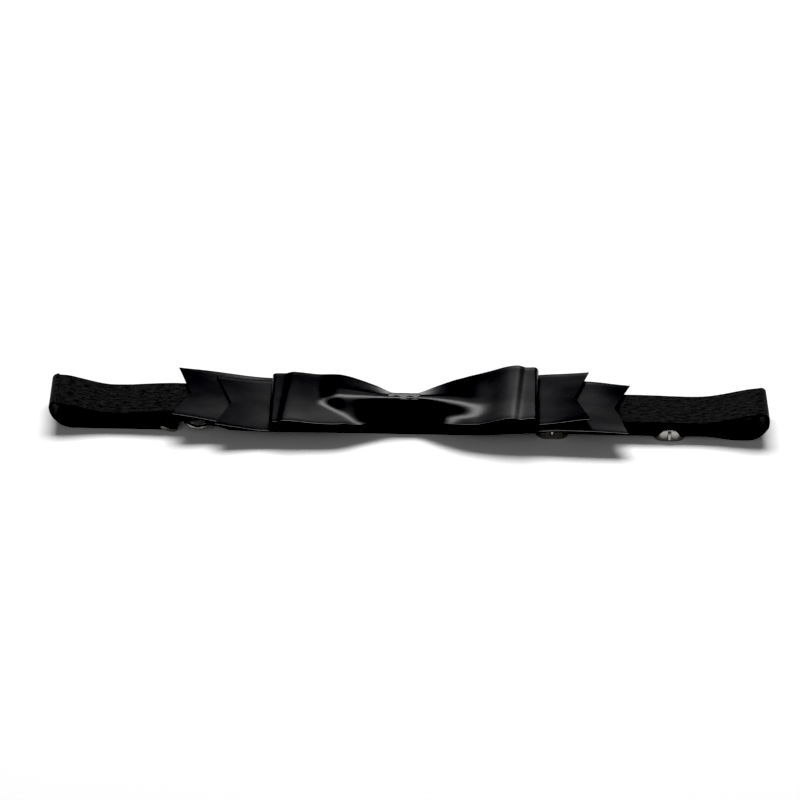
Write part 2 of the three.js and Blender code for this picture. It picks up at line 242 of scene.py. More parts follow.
def new_material(name, **values):
    material = bpy.data.materials.new(name)
    material.use_nodes = True
    shader = material.node_tree.nodes["Principled BSDF"]
    for key, value in values.items():
        shader.inputs[key.replace("_", " ")].default_value = value
    return material, material.node_tree, shader


def add_node(tree, kind, **settings):
    node = tree.nodes.new(kind)
    for key, value in settings.items():
        if key in node.inputs:
            node.inputs[key].default_value = value
        else:
            setattr(node, key, value)
    return node


def stretched_noise(tree, coordinates, scale, stretch, detail=3.0):
    """Noise with scale features a metre, drawn out along the cloth by stretch."""
    mapping = add_node(tree, "ShaderNodeMapping")
    mapping.inputs["Scale"].default_value = (scale / stretch, scale, scale)
    texture = add_node(tree, "ShaderNodeTexNoise")
    texture.inputs["Scale"].default_value = 1.0
    texture.inputs["Detail"].default_value = detail
    tree.links.new(coordinates, mapping.inputs["Vector"])
    tree.links.new(mapping.outputs[0], texture.inputs["Vector"])
    return texture.outputs["Fac"]


def ramp(tree, value, low, high, low_colour, high_colour):
    """Colour that goes from one end to the other while value goes from low to high."""
    node = add_node(tree, "ShaderNodeValToRGB")
    ends = zip(node.color_ramp.elements, (low, high), (low_colour, high_colour))
    for element, position, colour in ends:
        element.position = position
        element.color = (*colour, 1)
    tree.links.new(value, node.inputs["Fac"])
    return node.outputs["Color"]


def bump(tree, shader, heights):
    """Chains bumps of (height socket, strength, distance) into the shader's normal."""
    previous = None
    for value, strength, distance in heights:
        node = add_node(tree, "ShaderNodeBump", Strength=strength, Distance=distance)
        tree.links.new(value, node.inputs["Height"])
        if previous:
            tree.links.new(previous, node.inputs["Normal"])
        previous = node.outputs["Normal"]
    tree.links.new(previous, shader.inputs["Normal"])


def satin_material(name, roughness):
    """Black polyester satin: long warp floats along the ribbon, with a controlled sheen."""
    material, tree, shader = new_material(
        name, Roughness=roughness, Anisotropic=0.45, Specular_IOR_Level=0.2, IOR=1.5,
    )
    uv = add_node(tree, "ShaderNodeUVMap", uv_map="UVMap").outputs["UV"]
    tangent = add_node(tree, "ShaderNodeTangent", direction_type="UV_MAP", uv_map="UVMap")
    tree.links.new(tangent.outputs[0], shader.inputs["Tangent"])
    warp = stretched_noise(tree, uv, scale=9000, stretch=30)
    weft = stretched_noise(tree, uv, scale=2200, stretch=0.4, detail=1.0)
    drape = stretched_noise(tree, uv, scale=110, stretch=1.6, detail=1.0)
    colour = ramp(tree, warp, 0.3, 0.7, (0.004, 0.004, 0.0045), (0.010, 0.010, 0.011))
    tree.links.new(colour, shader.inputs["Base Color"])
    bump(tree, shader, [(drape, 0.25, 0.0006), (warp, 0.12, 0.00006), (weft, 0.06, 0.00005)])
    return material


def velvet_material():
    """The pile side of the neckband: fine nap, streaked along the band."""
    material, tree, shader = new_material(
        "velvet", Roughness=0.95, Specular_IOR_Level=0.12,
        Sheen_Weight=0.12, Sheen_Roughness=0.45, Sheen_Tint=(0.5, 0.5, 0.52, 1),
    )
    uv = add_node(tree, "ShaderNodeUVMap", uv_map="UVMap").outputs["UV"]
    nap = stretched_noise(tree, uv, scale=4200, stretch=2.4, detail=4.0)
    streaks = stretched_noise(tree, uv, scale=1500, stretch=3.5)
    mixed = add_node(tree, "ShaderNodeMath", operation="MULTIPLY")
    tree.links.new(nap, mixed.inputs[0])
    tree.links.new(streaks, mixed.inputs[1])
    colour = ramp(tree, mixed.outputs[0], 0.14, 0.42, (0.008, 0.008, 0.0082), (0.024, 0.024, 0.024))
    tree.links.new(colour, shader.inputs["Base Color"])
    bump(tree, shader, [(streaks, 0.3, 0.0002), (nap, 0.6, 0.00015)])
    return material


def backing_material():
    """The smooth knitted back of the neckband's elastic."""
    material, tree, shader = new_material("knit_backing", Roughness=0.5, Specular_IOR_Level=0.4)
    uv = add_node(tree, "ShaderNodeUVMap", uv_map="UVMap").outputs["UV"]
    ribs = add_node(tree, "ShaderNodeTexWave", wave_type="BANDS", bands_direction="Y")
    ribs.inputs["Scale"].default_value = 240
    ribs.inputs["Distortion"].default_value = 1.2
    ribs.inputs["Detail Scale"].default_value = 400
    tree.links.new(uv, ribs.inputs["Vector"])
    knit = stretched_noise(tree, uv, scale=4200, stretch=2.0)
    colour = ramp(tree, knit, 0.3, 0.7, (0.006, 0.006, 0.006), (0.018, 0.018, 0.018))
    tree.links.new(colour, shader.inputs["Base Color"])
    bump(tree, shader, [(ribs.outputs["Fac"], 0.35, 0.0001), (knit, 0.3, 0.0001)])
    return material


def thread_material():
    """Spun polyester sewing thread, with its twist."""
    material, tree, shader = new_material("thread", Roughness=0.6, Specular_IOR_Level=0.3)
    point = add_node(tree, "ShaderNodeTexCoord").outputs["Object"]
    fibres = stretched_noise(tree, point, scale=9000, stretch=1.0)
    colour = ramp(tree, fibres, 0.3, 0.7, (0.004, 0.004, 0.004), (0.016, 0.016, 0.016))
    tree.links.new(colour, shader.inputs["Base Color"])
    bump(tree, shader, [(fibres, 0.5, 0.00005)])
    return material


def nickel_material():
    """Polished nickel plate with fine handling scratches."""
    material, tree, shader = new_material("nickel", Metallic=1.0, Base_Color=(0.33, 0.322, 0.31, 1))
    point = add_node(tree, "ShaderNodeTexCoord").outputs["Object"]
    wear = stretched_noise(tree, point, scale=900, stretch=1.0, detail=4.0)
    scratches = stretched_noise(tree, point, scale=5200, stretch=14.0, detail=2.0)
    rough = add_node(tree, "ShaderNodeMapRange")
    rough.inputs["To Min"].default_value = 0.08
    rough.inputs["To Max"].default_value = 0.26
    tree.links.new(wear, rough.inputs["Value"])
    tree.links.new(rough.outputs["Result"], shader.inputs["Roughness"])
    bump(tree, shader, [(wear, 0.06, 0.0001), (scratches, 0.05, 0.00003)])
    return material


SATIN = satin_material("satin", roughness=0.31)
KNOT_SATIN = satin_material("knot_satin", roughness=0.28)
VELVET = velvet_material()
BACKING = backing_material()
THREAD = thread_material()
NICKEL = nickel_material()


def place(piece, body, slot, *nodes):
    """Puts a new piece on its body, in place of its CAD nodes, which it hides. The slot is not used.
    """
    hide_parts(*nodes)
    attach(piece, body)


# ---- Neckband ----

front = profile("band_front")
lower_run = profile("band_lower_run")
free_end = profile("band_free_end")
FOLD_SIDE_X = span("band_right_fold", 0)[1] - BAND_THICKNESS / 2
FOLD_TOP = span("band_right_fold", 2)[1] - BAND_THICKNESS / 2
UPPER_BEND = 1.6 * MM
OVERTURN_DEG = 10                # how far the upper bend turns over level
BEND_TRIM_DEG = 6                # left off the upper bend, where the front band takes over
FOOT_TRIM_DEG = 2                # left off the lower bend, where it meets the surface
LEFT_BEND = span("band_left_fold", 0)[1] + FOLD_SIDE_X
RIGHT_BEND = FOLD_SIDE_X - span("band_right_fold", 0)[0]
TURN_RADIUS = 1.25 * MM          # of the band round the hook's and the eye's bars
FLOOR_GAP = 0.02 * MM
EYE_SQUEEZE = 0.27               # shares of the width that the eye and the knot take up
KNOT_SQUEEZE = 0.12
FRONT_HEIGHT = 4 * MM            # the front band is above this, and the back below it
FRONT_TILT = 0.05                # towards the near side, at the right end of the front
HOOK_BAR_Z = 1.65 * MM
HOOK_LAP = 13 * MM               # of the short length, doubled back and sewn down


def arc(x, z, radius, start_deg, end_deg, steps):
    """Points (x, z) on an arc, going clockwise where the end is below the start."""
    angles = np.radians(np.linspace(start_deg, end_deg, steps))
    return [(x + radius * math.cos(a), z + radius * math.sin(a)) for a in angles]


def fold(lower_bend):
    """The mid-line of an end fold, from its top round to its foot, for the right end."""
    upper = arc(FOLD_SIDE_X - UPPER_BEND, FOLD_TOP - UPPER_BEND, UPPER_BEND,
                90 + OVERTURN_DEG - BEND_TRIM_DEG, 0, 12)
    lower = arc(FOLD_SIDE_X - lower_bend, BAND_THICKNESS / 2 + lower_bend, lower_bend,
                0, FOOT_TRIM_DEG - 90, 22)
    return upper + lower


def smooth_path(points, step):
    """A path through points (x, z), rounded at its corners and evenly spaced."""
    line = np.array(points, float)
    for _ in range(2):
        inner = line.copy()
        inner[1:-1] = (line[:-2] + 2 * line[1:-1] + line[2:]) / 4
        line = inner
    lengths = np.concatenate([[0], np.cumsum(np.linalg.norm(np.diff(line, axis=0), axis=1))])
    even = np.linspace(0, lengths[-1], max(8, int(lengths[-1] / step)))
    return np.stack([np.interp(even, lengths, line[:, k]) for k in range(2)], axis=1)


def band_grid(path):
    """The band's mid-surface: a path (x, z) widened along Y and lifted a little off itself."""
    tangent = unit(np.gradient(path, axis=0))
    columns = np.concatenate([[-1, -0.965], np.linspace(-0.92, 0.92, 17), [0.965, 1]])
    grid = []
    for (x, z), (tx, tz) in zip(path, tangent):
        row = []
        for c in columns:
            y = c * band_half_width(x, z)
            lift = band_lift(x, z, y)
            row.append((x - tz * lift, y, max(z + tx * lift, BAND_THICKNESS / 2 + FLOOR_GAP)))
        grid.append(row)
    return grid


def eye_bar():
    """The place (x, z) of the eye's bar that turns in the band's loop."""
    low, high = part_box("closure_eye")
    wire = high.z - low.z
    return high.x - wire / 2, (low.z + high.z) / 2


EYE_BAR_X, EYE_BAR_Z = eye_bar()


def band_half_width(x, z):
    """Half the band's width, drawn in where it passes through the eye and the knot."""
    in_eye = (1 - ease(abs(x - EYE_BAR_X), 1.5, 5)) * (z < FRONT_HEIGHT)
    in_knot = (1 - ease(abs(x - KNOT_X), 4, 7)) * (z > KNOT_LOW.z)
    return BAND_WIDTH / 2 * (1 - EYE_SQUEEZE * in_eye - KNOT_SQUEEZE * in_knot)


def band_lift(x, z, y):
    """The soft unevenness of worn elastic, and the front's slight tilt on its right."""
    uneven = 0.10 * MM * wobble(x, y, 14 * MM, 1.0) + 0.05 * MM * wobble(x, y, 4 * MM, 2.0)
    on_front = ease(z, 3.5, 1.5)
    tilt = -FRONT_TILT * y * ease(x, 45, 20) * on_front
    return uneven * (0.3 + 0.7 * on_front) + tilt


def make_band():
    """The long length of the neckband: front, right fold, lower run, turn in the eye, free end."""
    first = span("band_front", 0)[0] - 0.2 * MM
    points = [(x, front(x)) for x in np.linspace(first, -first, 180)]
    points += fold(RIGHT_BEND)
    run_start, tip = span("band_lower_run", 0)[0], span("band_free_end", 0)[1]
    back = np.linspace(FOLD_SIDE_X - RIGHT_BEND - 1 * MM, run_start, 150)
    points += [(x, lower_run(x)) for x in back]
    points += arc(EYE_BAR_X, EYE_BAR_Z, TURN_RADIUS, 270, 60, 18)
    points += [(x, free_end(x)) for x in np.linspace(run_start + 0.6 * MM, tip, 150)]
    path = smooth_path(points, 0.8 * MM)
    band = ribbon("neckband", band_grid(path), BAND_THICKNESS, VELVET, BACKING)
    place(band, "tie", "velvet_elastic",
          "band_front", "band_right_fold", "band_lower_run", "band_eye_loop", "band_free_end")


def make_hook_strap():
    """The short length: a lap sewn down, the turn over the hook's bar, and the left fold."""
    bar_x = span("band_hook_end", 0)[1] - TURN_RADIUS - BAND_THICKNESS / 2
    lap_z = 1.5 * BAND_THICKNESS + 0.05 * MM
    points = [(x, lap_z) for x in np.linspace(bar_x - HOOK_LAP, bar_x - 3.4 * MM, 20)]
    points += arc(bar_x, HOOK_BAR_Z, TURN_RADIUS, 110, -90, 18)
    foot = LEFT_BEND - FOLD_SIDE_X
    flat = np.linspace(bar_x - 1.5 * MM, foot + 0.3 * MM, 30)
    points += [(x, BAND_THICKNESS / 2) for x in flat]
    points += [(-x, z) for x, z in reversed(fold(LEFT_BEND))]
    path = smooth_path(points, 0.5 * MM)
    strap = ribbon("hook_strap", band_grid(path), BAND_THICKNESS, VELVET, BACKING)
    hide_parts("band_hook_end", "band_left_fold")
    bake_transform(strap)


# ---- Bow ----

CUT_DEPTH = 4.2 * MM             # of the swallowtail notch
SELVAGE = 1.25                   # how much thicker the satin is along its two woven edges
# Places across the ribbon, from its near edge to its far edge
COLUMNS = np.concatenate([[-1, -0.975], np.linspace(-0.93, 0.93, 29), [0.975, 1]])
PINCHED_HALF_WIDTH = KNOT_HIGH.y - 1.4 * MM
FAR_PINCH = 0.28                 # the share of its far half that the bow loses at the knot
TAIL_TUCK = 1.6 * MM             # how far the tails' edges stay inside the bow's at the knot
NOTCH_INSET = CUT_DEPTH + 0.4 * MM
long_tail = profile("long_tail_ribbon", NOTCH_INSET)
short_tail = profile("short_tail_ribbon", NOTCH_INSET)


def ribbon_half_width(distance):
    """Half the ribbon's width at a distance from the knot: pinched there, and full from 22 mm."""
    open_up = ease(distance, 3.5, 19)
    return PINCHED_HALF_WIDTH + (RIBBON_WIDTH / 2 - PINCHED_HALF_WIDTH) * np.sqrt(open_up)


def far_share(distance):
    """How much of its half width the bow keeps beyond its ridge: the pinch draws the far side in."""
    return 1 - FAR_PINCH * (1 - ease(distance, 3, 16))


def bow_y(distance, c):
    return c * ribbon_half_width(distance) * (far_share(distance) if c > 0 else 1)


def make_tail(name, node, height, turn_deg, curl, seed):
    """A straight ribbon under the bow, pinched by the knot, with swallowtail ends."""
    low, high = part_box(node)
    # the turned strip's own ends: its box is longer by what the corners swing out
    swing = RIBBON_WIDTH / 2 * abs(math.sin(math.radians(turn_deg)))
    first, last = low.x + swing - KNOT_X, high.x - swing - KNOT_X
    grid = []
    for share in np.linspace(0, 1, 150):
        row = []
        for c in COLUMNS:
            start = first + CUT_DEPTH * (1 - abs(c))
            end = last - CUT_DEPTH * (1 - abs(c))
            x = start + (end - start) * share
            y = c * (ribbon_half_width(abs(x)) - TAIL_TUCK * (1 - ease(abs(x), 8, 9)))
            z = height(x + KNOT_X) + curl(x, c)
            z += 0.12 * MM * wobble(x, y, 12 * MM, seed)
            row.append((x, y, z))
        grid.append(row)
    turn = Matrix.Rotation(math.radians(turn_deg), 3, "Z")
    grid = np.asarray(grid) @ np.array(turn).T + np.array([KNOT_X, 0, 0])
    tail = ribbon(name, grid, RIBBON_THICKNESS, SATIN, SATIN, selvage=SELVAGE)
    place(tail, "tie", "satin", node)


def long_curl(x, c):
    """The long tail's left end stands higher at its near edge, and both ends bow a little across."""
    left, right = ease(-x, 48, 18), ease(x, 50, 14)
    return (-0.55 * left * c - 0.3 * right * c + 0.25 * (left + right) * (1 - c * c)) * MM


def short_curl(x, c):
    """The short tail droops at its left end, and its right end stands higher at its near edge."""
    left, right = ease(-x, 38, 16), ease(x, 38, 14)
    return (-0.22 * left - 0.25 * left * c - 0.5 * right * c - 0.2 * right * (1 - c * c)) * MM


BOW_FROM, BOW_TO = span("bow_loop_ribbon", 0)
RIDGE_HEIGHT = 8.8 * MM
LAYER_GAP = 0.45 * MM            # the least between the mid-surfaces of the bow's two layers
END_TURN = 1.6 * MM              # the length of the turn at each end of the bow
CREASE_SOFTNESS = 0.14
SLOPE_START = 0.12               # where on its easing curve the right loop's slope begins

# Heights of the bow's upper layer at its two edges, as (x, z) in mm
NEAR_EDGE = [
    (-39, 7.3), (-25, 6.9), (-18, 6.5), (-15.5, 5.7), (-13, 4.8), (-9, 4.2), (-5, 3.8), (3, 3.8),
    (6, 4.2), (9, 4.9), (12, 6.0), (15, 7.0), (19, 7.5), (29, 9.3), (37, 10.6),
]
FAR_EDGE = [
    (-39, 6.9), (-32, 7.0), (-23, 6.7), (-16, 6.6), (-9, 6.6), (-5, 5.5), (3, 5.5), (7, 6.4),
    (11, 6.8), (16, 7.0), (22, 8.6), (29, 10.4), (37, 11.0),
]
EDGE_SAMPLES = 330
EDGE_SMOOTHING = 26              # passes over the samples

# The ridge in the knot, in mm: its place across the ribbon, half the width of its flat crown, and
# the rounding where the crown turns down. Away from the knot the rounding grows by the last one.
KNOT_RIDGE_Y = -0.5
KNOT_CROWN = 0.6
KNOT_ROUNDING = 0.25
ROUNDING_GROWTH = 0.35

# Each loop's own numbers, in mm. The ridge drifts across as it leaves the knot, and fades out over
# a length. The loop swells up towards a step, which slants by its skew from the ribbon's middle to
# its edge. Past the step it is pressed flat.
LEFT_LOOP = SimpleNamespace(
    ridge_drift=1.6, fade_from=18, fade_over=7.5, crown_growth=0.9, pillow=0.25,
    swell=0.6, swell_from=25, swell_over=9, step=34.1, step_skew=-0.9, step_over=2.2,
)
RIGHT_LOOP = SimpleNamespace(
    ridge_drift=-1.0, fade_from=15, fade_over=13, crown_growth=0.4, pillow=0.1,
    swell=0.9, swell_from=19, swell_over=10, step=29.9, step_skew=0.8, step_over=2.8,
)


def edge_height(stations):
    """A smooth height along the bow through stations, as a function of x."""
    xs = np.linspace(stations[0][0] - 3, stations[-1][0] + 3, EDGE_SAMPLES)
    line = np.interp(xs, *zip(*stations))
    for _ in range(EDGE_SMOOTHING):
        line[1:-1] = (line[:-2] + 2 * line[1:-1] + line[2:]) / 4
    return lambda x: float(np.interp(x / MM, xs, line)) * MM


near_edge = edge_height(NEAR_EDGE)
far_edge = edge_height(FAR_EDGE)


def left_slope(down, distance):
    """A straight near slope that ends in a crease, nearer the ridge the further out it is."""
    reach = (1.6 + 6.6 * (1 - ease(distance, 10, 15))) * MM
    return (1 - down / reach + math.hypot(1 - down / reach, CREASE_SOFTNESS)) / 2


def right_slope(down, distance, side_width):
    """A near slope that is straight in the pinch, and eases into the loop further out."""
    straight = 1 - down / side_width
    start = smoothstep(SLOPE_START)
    eased = 1 - smoothstep(SLOPE_START + (1 - SLOPE_START) * down / (5 * MM)) / (1 - start) + start
    return straight + (eased - straight) * ease(distance, 9, 9)


def bow_top(x, c):
    """The bow's upper layer: a sharp ridge at the knot that opens out into two flat loops."""
    loop = LEFT_LOOP if x < KNOT_X else RIGHT_LOOP
    distance = abs(x - KNOT_X)
    outwards = -x if x < KNOT_X else x
    y = bow_y(distance, c)
    near, far = near_edge(x), far_edge(x)
    half_width = ribbon_half_width(distance)
    away = ease(distance, 4, 16)
    fade = 1 - ease(distance, loop.fade_from, loop.fade_over)

    ridge_y = (KNOT_RIDGE_Y + loop.ridge_drift * away) * MM
    level = near + (far - near) * (ridge_y / half_width + 1) / 2
    crown = (KNOT_CROWN + loop.crown_growth * away) * MM
    past_crown = max(abs(y - ridge_y) - crown, 0)
    rounding = (KNOT_ROUNDING + ROUNDING_GROWTH * away) * MM
    down = math.hypot(past_crown, rounding) - rounding
    beyond = y > ridge_y
    side_width = half_width * far_share(distance) - ridge_y if beyond else half_width + ridge_y

    # the cloth between its two edges, level across the crown where there is a ridge
    base = near + (far - near) * (c + 1) / 2
    level_crown = level + ((far if beyond else near) - level) * past_crown / (side_width - crown)
    base += (level_crown - base) * fade

    if beyond:
        tent = 1 - down / side_width
    elif loop is LEFT_LOOP:
        tent = left_slope(down, distance)
    else:
        tent = right_slope(down, distance, side_width)
    ridge = max(RIDGE_HEIGHT - level, 0) * fade * max(tent, 0)

    opened = ease(distance, 14, 10) * (1 - ease(distance, 31, 7))
    pillow = loop.pillow * MM * opened * (1 - c * c)
    inside_step = 1 - ease(outwards, loop.step + loop.step_skew * c, loop.step_over)
    swell = loop.swell * MM * ease(outwards, loop.swell_from, loop.swell_over) * inside_step
    return base + ridge + pillow + swell


def bow_bottom(x, c):
    """The bow's lower layer, which lies on the short tail and under the upper layer's edges."""
    on_tail = short_tail(x) + 0.5 * MM + 0.1 * MM * (1 - c * c)
    return min(on_tail, bow_top(x, c) - LAYER_GAP)


def bow_end(x, side):
    """The turn from the upper layer to the lower one, outwards from x."""
    rows = []
    for angle in np.radians(np.linspace(90, -90, 18)[1:-1]):
        row = []
        for c in COLUMNS:
            top, bottom = bow_top(x, c), bow_bottom(x, c)
            mid, half = (top + bottom) / 2, (top - bottom) / 2
            reach = abs(math.cos(angle)) ** 0.7 * (END_TURN - RIBBON_THICKNESS)
            row.append((x + side * reach, bow_y(abs(x - KNOT_X), c), mid + half * math.sin(angle)))
        rows.append(row)
    return rows


def make_bow():
    """One ribbon that runs round both loops, pinched in the knot."""
    along = np.linspace(BOW_FROM + END_TURN, BOW_TO - END_TURN, 150)
    grid = [[(x, bow_y(abs(x - KNOT_X), c), bow_top(x, c)) for c in COLUMNS] for x in along]
    grid += bow_end(along[-1], 1)
    for x in along[::-1]:
        distance = abs(x - KNOT_X)
        tucked = 0.95 + 0.05 * ease(distance, 6, 8)
        grid.append([(x, bow_y(distance, c) * tucked, bow_bottom(x, c)) for c in COLUMNS])
    grid += bow_end(along[0], -1)[::-1]
    bow = ribbon("bow_loops", grid, RIBBON_THICKNESS, SATIN, SATIN, closed=True, selvage=SELVAGE)
    place(bow, "tie", "satin", "bow_loop_ribbon")


# ---- Knot ----

KNOT_SHOULDER = 4.1 * MM         # where the knot's slopes begin, at its two edges
KNOT_HIP = 3.3 * MM              # where its sides begin to turn under
KNOT_LEAN = 0.35 * MM            # how far its crown falls towards the near side
# As shares of its half width: how far its ridge is off the middle, towards the near side, half the
# crown, the crown's rounding, and the length over which each slope comes down.
RIDGE_SHIFT = 0.08
HALF_CROWN = 0.16
CROWN_ROUNDING = 0.05
SLOPE_LENGTH = 0.8


def knot_outline(grow):
    """The pinch's outline as points (y, z), anticlockwise from its far side, grown outwards."""
    half_y = KNOT_HIGH.y - 0.9 * MM + grow
    bottom, top = KNOT_LOW.z + 0.1 * MM - grow, KNOT_HIGH.z + grow
    points = []
    for t in np.linspace(1, -1, 60):
        past_crown = max(abs(t + RIDGE_SHIFT) - HALF_CROWN, 0)
        down = math.hypot(past_crown, CROWN_ROUNDING) - CROWN_ROUNDING
        across_crown = (HALF_CROWN - RIDGE_SHIFT - t) / (2 * HALF_CROWN)
        lean = KNOT_LEAN * np.clip(across_crown, 0, 1)
        rise = (top - KNOT_SHOULDER - lean) * max(1 - down / SLOPE_LENGTH, 0)
        points.append((half_y * t, KNOT_SHOULDER + rise))
    corner = [(0, KNOT_HIP), (0.4 * MM, bottom + 0.2 * MM), (1.2 * MM, bottom)]
    points += [(-half_y + inset, z) for inset, z in corner]
    points += [(y, bottom) for y in np.linspace(-half_y + 2 * MM, half_y - 2 * MM, 14)]
    points += [(half_y - inset, z) for inset, z in reversed(corner)]
    return points


def make_knot():
    """The satin wrap that covers the pinch and goes round the neckband."""
    half_x = (KNOT_HIGH.x - KNOT_LOW.x) / 2
    columns = np.concatenate([[-1, -0.96], np.linspace(-0.9, 0.9, 17), [0.96, 1]])
    outline = knot_outline(0)
    grid = []
    for y, z in outline:
        row = []
        # from its right edge to its left one, which keeps the satin side out
        for c in columns[::-1]:
            pleat = 0.08 * MM * math.cos(2.5 * math.pi * c + 0.6) * ease(z, 3, 2)
            row.append((KNOT_X + c * half_x, y * (1 - 0.03 * c * c), z - 0.12 * MM * c * c + pleat))
        grid.append(row)
    knot = ribbon("knot_cover", grid, RIBBON_THICKNESS, KNOT_SATIN, KNOT_SATIN, closed=True)
    place(knot, "tie", "satin", "knot_wrap")


def make_waist_thread():
    """Turns of thread that bind the pinch, under the wrap and over the neckband."""
    low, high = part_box("waist_thread")
    radius = 0.16 * MM
    turns = 7
    loop = [(y, max(z, low.z + 0.3 * MM)) for y, z in knot_outline(-0.55 * MM)]
    count = turns * len(loop)
    path = []
    for i in range(count + 1):
        y, z = loop[i % len(loop)]
        path.append((low.x + radius + (high.x - low.x - 2 * radius) * i / count, y, z))
    thread = tube("waist_thread_turns", path, radius, THREAD, sides=8)
    place(thread, "tie", "thread", "waist_thread")


# ---- Stitching ----

THREAD_RADIUS = 0.13 * MM
STEPS_PER_STITCH = 6


def zigzag(name, node, body, stitches, along_y):
    """A bartack as one thread that runs to and fro across its bar, and dips at each end."""
    low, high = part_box(node)
    axis, other = (1, 0) if along_y else (0, 1)
    steps = stitches * STEPS_PER_STITCH
    path = []
    for i in range(steps + 1):
        swing = math.sin(2 * math.pi * i / STEPS_PER_STITCH)
        p = [0, 0, 0]
        p[axis] = low[axis] + (high[axis] - low[axis]) * i / steps
        p[other] = (low[other] + high[other]) / 2 + (high[other] - low[other]) / 2 * swing
        p[2] = low.z + 0.05 * MM - 0.16 * MM * abs(swing) ** 3
        path.append(p)
    place(tube(name, path, THREAD_RADIUS, THREAD, sides=6), body, "thread", node)


# ---- Hardware ----

BAR = 1.1 * MM                   # the width of a slide's bars and rails
BAR_THICKNESS = 0.95 * MM
SLIDE_CORNER = 2.4 * MM
FRAME_POWER = 6.0                # of the superellipse that rounds the rails' section
FRAME_SIDES = 24
ROD_SIDES = 16
CORNER_STEPS = 10
EYE_END_STEPS = 20
EYE_LEAN_DEG = 5
BEVEL_WIDTH = 0.16 * MM
BEVEL_ANGLE = math.radians(35)


def swept_frame(path, half_heights):
    """Rings of a rounded bar section along a closed path, upright all the way round."""
    rings = []
    for i, p in enumerate(path):
        tangent = Vector(path[(i + 1) % len(path)]) - Vector(path[i - 1])
        across = Vector((tangent.y, -tangent.x, 0)).normalized()
        up = Vector((0, 0, half_heights[i]))
        ring = []
        for k in range(FRAME_SIDES):
            a = 2 * math.pi * (k + 0.5) / FRAME_SIDES
            u, v = (math.copysign(abs(n) ** (2 / FRAME_POWER), n) for n in (math.cos(a), math.sin(a)))
            ring.append(Vector(p) + across * u * BAR / 2 + up * v)
        rings.append(ring)
    return rings


def rings_to_bmesh(bm, rings, closed):
    made = [[bm.verts.new(v) for v in ring] for ring in rings]
    n, sides = len(made), len(made[0])
    for i in range(n if closed else n - 1):
        a, b = made[i], made[(i + 1) % n]
        for k in range(sides):
            bm.faces.new((a[k], a[(k + 1) % sides], b[(k + 1) % sides], b[k]))
    if not closed:
        bm.faces.new(made[0][::-1])
        bm.faces.new(made[-1])


def rounded_plan(length, width, radius, corner_steps):
    """The plan of a rounded rectangle, with straight sides subdivided."""
    points = []
    a, b = length / 2 - radius, width / 2 - radius
    for cx, cy, start in ((a, b, 0), (-a, b, 90), (-a, -b, 180), (a, -b, 270)):
        for angle in np.radians(np.linspace(start, start + 90, corner_steps)):
            points.append((cx + radius * math.cos(angle), cy + radius * math.sin(angle)))
    full = []
    for i, p in enumerate(points):
        q = points[(i + 1) % len(points)]
        gap = math.dist(p, q)
        parts = max(1, int(gap / (0.5 * MM)))
        full += [
            (p[0] + (q[0] - p[0]) * k / parts, p[1] + (q[1] - p[1]) * k / parts) for k in range(parts)
        ]
    return full


def make_slide(node, body):
    """A three-bar slide: end bars, upright arched rails beside the band, and a raised middle bar."""
    low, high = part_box(node)
    cx = (low.x + high.x) / 2
    length, width = high.x - low.x, high.y - low.y
    z_low, z_high = low.z + BAR_THICKNESS / 2, high.z - BAR_THICKNESS / 2

    def arch(x):
        share = smoothstep((abs(x) - 1.1 * MM) / (length / 2 - 2 * MM))
        return z_low + (z_high - z_low) * (1 - share ** 1.5)

    path, half_heights = [], []
    for x, y in rounded_plan(length - BAR, width - BAR, SLIDE_CORNER, CORNER_STEPS):
        beside = smoothstep((abs(y) - width / 2 + 2.6 * MM) / (1.6 * MM))
        over, under = arch(x) + BAR_THICKNESS / 2, z_low - BAR_THICKNESS / 2
        deep = BAR_THICKNESS + (over - under - BAR_THICKNESS) * beside
        path.append((cx + x, y, over - deep / 2))
        half_heights.append(deep / 2)
    bm = bmesh.new()
    rings_to_bmesh(bm, swept_frame(path, half_heights), True)
    # the middle bar is a rod whose ends are crimped down over the rails
    side = width / 2
    end = [(side + 0.42 * MM, z_low + 0.9 * MM), (side + 0.42 * MM, z_high - 0.7 * MM),
           (side + 0.3 * MM, z_high - 0.2 * MM), (side - 0.1 * MM, z_high + 0.1 * MM),
           (side - 0.8 * MM, z_high)]
    rod = smooth_path([(-y, z) for y, z in end] + [(0, z_high)] + end[::-1], 0.2 * MM)
    along_rod = unit(np.gradient(rod, axis=0))
    rings = []
    for (y, z), (ty, tz) in zip(rod, along_rod):
        ring = []
        for k in range(ROD_SIDES):
            a = 2 * math.pi * (k + 0.5) / ROD_SIDES
            u, v = math.cos(a) * BAR / 2, math.sin(a) * BAR_THICKNESS / 2
            ring.append(Vector((cx + u, y - tz * v, z + ty * v)))
        rings.append(ring)
    rings_to_bmesh(bm, rings, False)
    bmesh.ops.recalc_face_normals(bm, faces=bm.faces)
    mesh = bpy.data.meshes.new(node + "_metal")
    bm.to_mesh(mesh)
    bm.free()
    place(finish_mesh(node + "_metal", mesh, [NICKEL]), body, "nickel", node)


def make_eye():
    """The oval wire ring that the hook takes hold of."""
    low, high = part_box("closure_eye")
    wire = high.z - low.z
    c = (low + high) / 2
    length, width = high.x - low.x - wire, high.y - low.y - wire
    plan = rounded_plan(length, width, length / 2 - 0.01 * MM, EYE_END_STEPS)
    # the eye rests on the hook, so it leans a little about the bar in the band's turn
    lean = math.tan(math.radians(EYE_LEAN_DEG))
    path = [(c.x + x, c.y + y, c.z + (length / 2 - x) * lean) for x, y in plan]
    ring = tube("eye_ring", path, wire / 2, NICKEL, sides=16, closed=True)
    place(ring, "eye", "nickel", "closure_eye")


